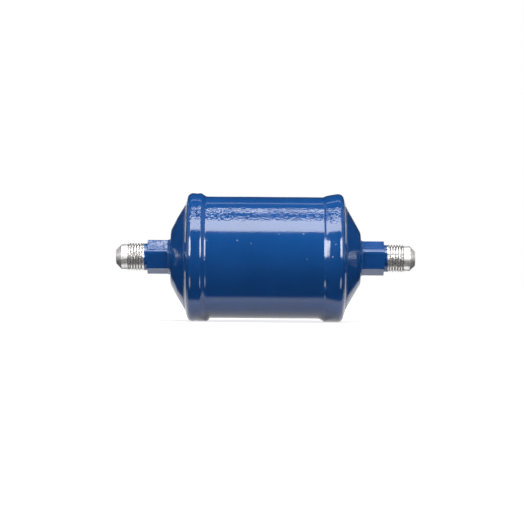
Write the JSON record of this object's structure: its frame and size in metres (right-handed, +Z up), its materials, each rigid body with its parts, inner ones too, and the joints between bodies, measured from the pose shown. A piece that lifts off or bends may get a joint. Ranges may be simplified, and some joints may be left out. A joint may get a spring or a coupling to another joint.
{
  "type": "filter drier",
  "caption": "Liquid line filter drier: a blue painted steel shell with domed ends and a flare fitting at each end, holding a spring loaded bed of drying beads.",
  "frame": {"origin": "on the axis, midway between the tips of the two flare fittings", "axes": "+X along the axis, the way the refrigerant flows from inlet to outlet; +Z up; -Y towards the viewer"},
  "size_m": [0.173, 0.0744, 0.0744],
  "materials": {
    "blue_paint": "gloss",
    "plated_steel": "satin",
    "painted_braze": "gloss",
    "spring_steel": "satin",
    "sheet_steel": "satin",
    "filter_felt": "matte",
    "drying_beads": "matte",
    "wire_mesh": "satin"
  },
  "bodies": {
    "root": {"shell": "blue_paint", "inlet_end_cap": "blue_paint", "outlet_end_cap": "blue_paint", "inlet_seam_braze": "painted_braze", "outlet_seam_braze": "painted_braze", "inlet_flare_fitting": "plated_steel", "outlet_flare_fitting": "plated_steel", "inlet_fitting_braze": "painted_braze", "outlet_fitting_braze": "painted_braze", "compression_spring": "spring_steel", "pressure_plate": "sheet_steel", "inlet_filter_pad": "filter_felt", "desiccant_bed": "drying_beads", "outlet_filter_pad": "filter_felt", "outlet_screen": "wire_mesh", "outlet_perforated_plate": "sheet_steel"}
  },
  "joints": []
}
